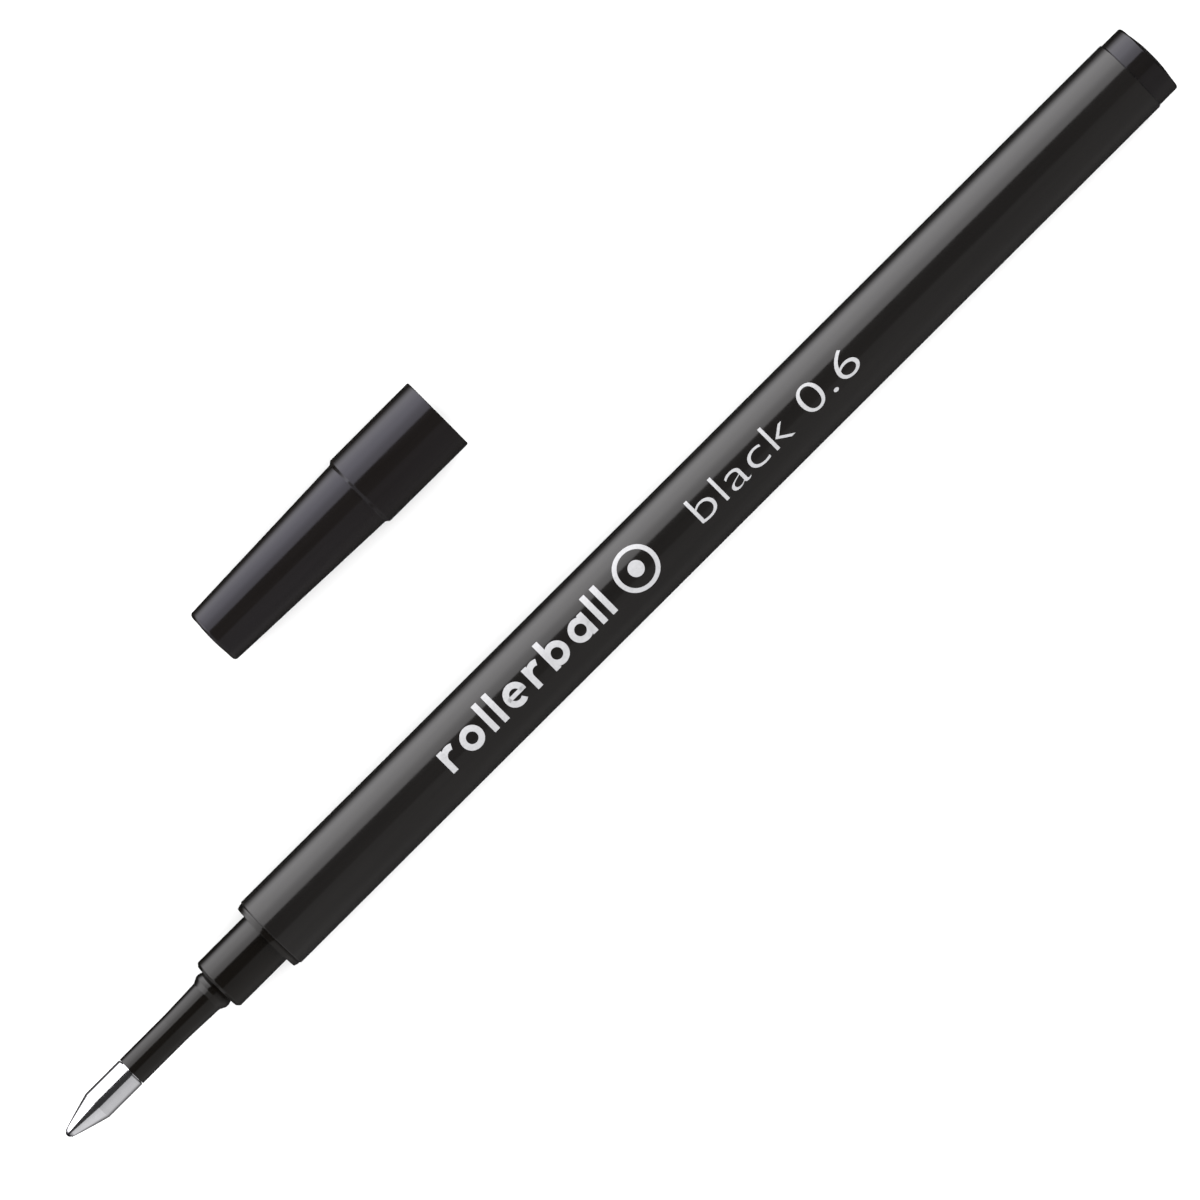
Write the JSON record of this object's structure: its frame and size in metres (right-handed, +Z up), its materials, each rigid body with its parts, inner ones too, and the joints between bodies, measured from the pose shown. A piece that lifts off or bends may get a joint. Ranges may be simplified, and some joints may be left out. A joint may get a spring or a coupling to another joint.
{
  "type": "rollerball pen refill",
  "caption": "Slim round liquid-ink refill with a metal rollerball tip and a stepped front, its short protective cap pulled off and lying parallel beside it.",
  "frame": {"origin": "middle of the whole part in X and Y, on the surface it lies on", "axes": "X along the refill, writing tip toward -X and rear toward +X; +Y toward the cap; +Z up from the surface"},
  "size_m": [0.1106, 0.0242, 0.0062],
  "materials": {
    "black_plastic": "smooth moulded, glossy",
    "cap_plastic": "smooth moulded, glossy",
    "tip_metal": "finely turned and polished",
    "ball_metal": "lapped, dark with ink",
    "feed_plastic": "ink-soaked",
    "store_fibre": "ink-soaked fibre",
    "film": "thin clear wrap"
  },
  "bodies": {
    "refill": {"metal_tip": "tip_metal", "tip_holder": "black_plastic", "front_section": "black_plastic", "barrel": "black_plastic", "rear_plug": "black_plastic", "feed_rod": "feed_plastic", "ink_store": "store_fibre", "store_film": "film"},
    "ball": {"writing_ball": "ball_metal"},
    "cap": {"cap": "cap_plastic"}
  },
  "joints": [
    {"name": "ball_roll", "type": "hinge", "parent": "refill", "child": "ball", "pos_m": [-0.05495, -0.00903, 0.00308], "axis": [0, 1, 0], "continuous": true},
    {"name": "cap_travel", "type": "slide", "parent": "refill", "child": "cap", "axis": [-0.9714, -0.2375, -0.0003], "range_m": [0, 0.07597]}
  ]
}
